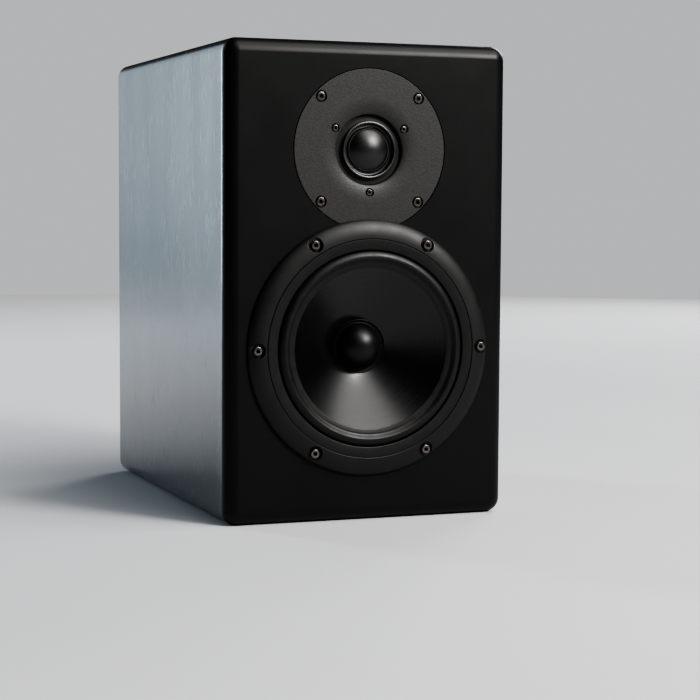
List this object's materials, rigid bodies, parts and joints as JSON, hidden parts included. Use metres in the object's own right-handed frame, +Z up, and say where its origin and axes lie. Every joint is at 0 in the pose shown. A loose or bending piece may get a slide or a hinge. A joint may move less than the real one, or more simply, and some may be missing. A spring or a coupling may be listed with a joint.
{
  "type": "bookshelf speaker",
  "caption": "Two-way bookshelf loudspeaker: rounded black cabinet, coned woofer under a dome tweeter, crossover inside, reflex port and screw terminals behind.",
  "frame": {"origin": "middle of the footprint of the whole object, on the surface it stands on", "axes": "front face towards -Y, back towards +Y, +X to the right as seen from the front, +Z up"},
  "size_m": [0.195, 0.288, 0.311],
  "materials": {
    "front_lacquer": "satin",
    "stained_veneer": "gloss",
    "back_paint": "matte",
    "raw_board": "matte",
    "acoustic_foam": "matte",
    "frame_paint": "satin",
    "seal_foam": "matte",
    "trim_plastic": "satin",
    "gasket_rubber": "matte",
    "surround_rubber": "satin",
    "cone_polymer": "gloss",
    "cap_polymer": "satin",
    "copper": "satin",
    "spider_cloth": "matte",
    "plated_steel": "satin",
    "ferrite": "matte",
    "tag_board": "satin",
    "dark_screw": "satin",
    "faceplate_coat": "matte",
    "bezel_metal": "satin",
    "mouth_plastic": "matte",
    "dome_cloth": "gloss",
    "circuit_board": "satin",
    "nylon": "satin",
    "film_capacitor": "gloss",
    "cement_resistor": "matte",
    "wire_red": "satin",
    "wire_black": "satin",
    "moulded_black": "satin",
    "gold_plate": "polished",
    "knob_red": "gloss",
    "knob_black": "gloss"
  },
  "bodies": {
    "cabinet": {"front_baffle": "front_lacquer", "left_panel": "stained_veneer", "right_panel": "stained_veneer", "top_panel": "stained_veneer", "bottom_panel": "stained_veneer", "back_panel": "back_paint", "brace": "raw_board", "damping_foam": "acoustic_foam", "woofer_basket": "frame_paint", "woofer_mounting_gasket": "seal_foam", "woofer_trim_ring": "trim_plastic", "woofer_gasket_ring": "gasket_rubber", "woofer_surround": "surround_rubber", "woofer_spider": "spider_cloth", "woofer_top_plate": "plated_steel", "woofer_magnet": "ferrite", "woofer_pole_plate": "plated_steel", "woofer_terminals": "tag_board", "woofer_lead_wires": "copper", "woofer_screws": "dark_screw", "tweeter_faceplate": "faceplate_coat", "tweeter_mounting_gasket": "seal_foam", "tweeter_inner_ring": "mouth_plastic", "tweeter_bezel": "bezel_metal", "tweeter_surround": "dome_cloth", "tweeter_top_plate": "plated_steel", "tweeter_magnet": "ferrite", "tweeter_pole_plate": "plated_steel", "tweeter_rear_chamber": "moulded_black", "tweeter_terminals": "tag_board", "tweeter_screws": "dark_screw", "tweeter_plate_screws": "dark_screw", "crossover_board": "circuit_board", "crossover_spacers": "nylon", "crossover_screws": "plated_steel", "bass_inductor": "copper", "treble_inductor": "copper", "crossover_capacitors": "film_capacitor", "crossover_resistors": "cement_resistor", "woofer_wires": "wire_red", "tweeter_wires": "wire_black", "input_wires": "wire_black", "port_tube": "moulded_black", "terminal_cup": "moulded_black", "terminal_cup_gasket": "seal_foam", "terminal_cup_screws": "dark_screw", "red_post": "gold_plate", "black_post": "gold_plate", "post_nuts": "gold_plate"},
    "woofer_diaphragm": {"woofer_cone": "cone_polymer", "woofer_dust_cap": "cap_polymer", "woofer_voice_coil": "copper"},
    "tweeter_diaphragm": {"tweeter_dome": "dome_cloth", "tweeter_voice_coil": "copper"},
    "red_washer": {"red_washer": "gold_plate"},
    "red_knob": {"red_knob": "knob_red"},
    "black_washer": {"black_washer": "gold_plate"},
    "black_knob": {"black_knob": "knob_black"}
  },
  "joints": [
    {"name": "woofer_cone_travel", "type": "slide", "parent": "cabinet", "child": "woofer_diaphragm", "axis": [0, -1, 0], "range_m": [-0.004, 0.004], "stiffness_N_per_m": 1200, "deforming": ["woofer_surround", "woofer_spider", "woofer_lead_wires"]},
    {"name": "tweeter_dome_travel", "type": "slide", "parent": "cabinet", "child": "tweeter_diaphragm", "axis": [0, -1, 0], "range_m": [-0.0004, 0.0004], "stiffness_N_per_m": 2000, "deforming": ["tweeter_surround"]},
    {"name": "red_knob_travel", "type": "slide", "parent": "cabinet", "child": "red_washer", "axis": [0, 1, 0], "range_m": [0, 0.00401]},
    {"name": "red_knob_turn", "type": "hinge", "parent": "red_washer", "child": "red_knob", "pos_m": [-0.0095, 0.12999, 0.09], "axis": [0, 1, 0], "range_deg": [0, 1440]},
    {"name": "black_knob_travel", "type": "slide", "parent": "cabinet", "child": "black_washer", "axis": [0, 1, 0], "range_m": [0, 0.00401]},
    {"name": "black_knob_turn", "type": "hinge", "parent": "black_washer", "child": "black_knob", "pos_m": [0.0095, 0.12999, 0.09], "axis": [0, 1, 0], "range_deg": [0, 1440]}
  ],
  "couplings": [
    {"joint": "red_knob_travel", "follows": "red_knob_turn", "m_per_rad": 0.00015915},
    {"joint": "black_knob_travel", "follows": "black_knob_turn", "m_per_rad": 0.00015915}
  ]
}
